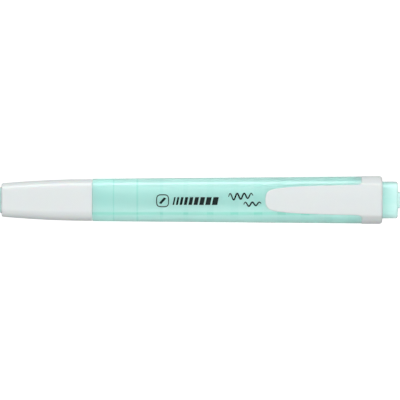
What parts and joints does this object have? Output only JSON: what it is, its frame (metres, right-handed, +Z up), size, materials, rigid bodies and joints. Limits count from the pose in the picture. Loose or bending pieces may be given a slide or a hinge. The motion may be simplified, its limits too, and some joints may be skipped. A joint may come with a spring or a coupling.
{
  "type": "highlighter",
  "caption": "Capped pocket highlighter with a flattened oval barrel, a pull-off cap, a chisel nib and a springy clip moulded on a collar at its rear.",
  "frame": {"origin": "middle of the pen's footprint, on the plane its flat back rests on", "axes": "+X along the pen from the cap towards the rear plug, +Y across the pen, +Z up out of the clip side"},
  "size_m": [0.134, 0.016, 0.0144],
  "materials": {
    "mint_plastic": "pastel mint polypropylene, slightly translucent, satin gloss",
    "grey_plastic": "pale grey opaque moulded plastic, satin gloss",
    "nib_felt": "sintered fibre soaked in mint ink",
    "reservoir_fibre": "bundled polyester fibre soaked in mint ink",
    "clear_film": "thin clear film",
    "printed_ink": "pad-printed dark ink, satin"
  },
  "bodies": {
    "barrel": {"barrel": "mint_plastic", "nib_holder": "mint_plastic", "nib": "nib_felt", "reservoir_core": "reservoir_fibre", "reservoir_film": "clear_film", "rear_plug": "mint_plastic", "clip_band": "grey_plastic"},
    "clip": {"clip_arm": "grey_plastic"},
    "cap": {"cap_shell": "grey_plastic", "inner_cap": "mint_plastic"}
  },
  "joints": [
    {"name": "cap_pull", "type": "slide", "parent": "barrel", "child": "cap", "axis": [-1, 0, 0], "range_m": [0, 0.045]},
    {"name": "clip_flex", "type": "hinge", "parent": "barrel", "child": "clip", "pos_m": [0.054, 0, 0.01442], "axis": [0, 1, 0], "range_deg": [0, 6], "stiffness_Nm_per_rad": 0.8}
  ]
}
